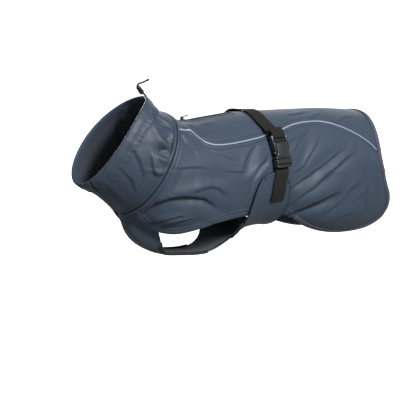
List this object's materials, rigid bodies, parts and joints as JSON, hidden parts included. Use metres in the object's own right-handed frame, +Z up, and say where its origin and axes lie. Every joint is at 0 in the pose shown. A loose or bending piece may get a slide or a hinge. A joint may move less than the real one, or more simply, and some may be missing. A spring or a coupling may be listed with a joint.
{
  "type": "dog raincoat",
  "caption": "Close-fitting dog raincoat in its worn shape: stand-up collar, piped back panel, chest bib with side flaps, belly strap with side-release buckle.",
  "frame": {"origin": "inner face of the back panel on the spine, where the wearer's back carries the coat", "axes": "+X along the back towards the tail, +Y to the wearer's right, +Z up"},
  "size_m": [0.5546, 0.1689, 0.2632],
  "materials": {
    "coat_cloth": "smooth coated steel-blue cloth with a low sheen",
    "reflective_piping": "light grey reflective piping",
    "hem_binding": "purplish grey woven binding",
    "bib_binding": "near-black binding",
    "black_lining": "matt black lining",
    "webbing": "dark olive-grey woven webbing",
    "buckle_plastic": "dark grey satin moulding",
    "zip_tape": "black woven tape with moulded teeth",
    "zip_metal": "dark enamelled metal",
    "black_cord": "black braided cord",
    "black_plastic": "black moulding"
  },
  "bodies": {
    "coat": {"back_panel": "coat_cloth", "side_panel_left": "coat_cloth", "side_panel_right": "coat_cloth", "piping_left": "reflective_piping", "piping_right": "reflective_piping", "rear_binding": "hem_binding", "collar": "coat_cloth", "collar_channel": "coat_cloth", "collar_lining": "black_lining", "strap_upper": "webbing", "strap_lower": "webbing", "buckle_socket": "buckle_plastic", "buckle_plug": "buckle_plastic", "belly_panel": "coat_cloth", "belly_lining": "black_lining", "bib_binding_left": "bib_binding", "bib_binding_right": "bib_binding", "zip_tape": "zip_tape", "zip_slider": "zip_metal", "drawcord": "black_cord", "cord_lock": "black_plastic"},
    "pull_tab": {"zip_pull": "zip_metal"}
  },
  "joints": [
    {"name": "pull_tab_hinge", "type": "hinge", "parent": "coat", "child": "pull_tab", "pos_m": [-0.09762, -0.00556, -0.00032], "axis": [0.026, 0.9968, 0.0754], "range_deg": [-85, 15]}
  ]
}
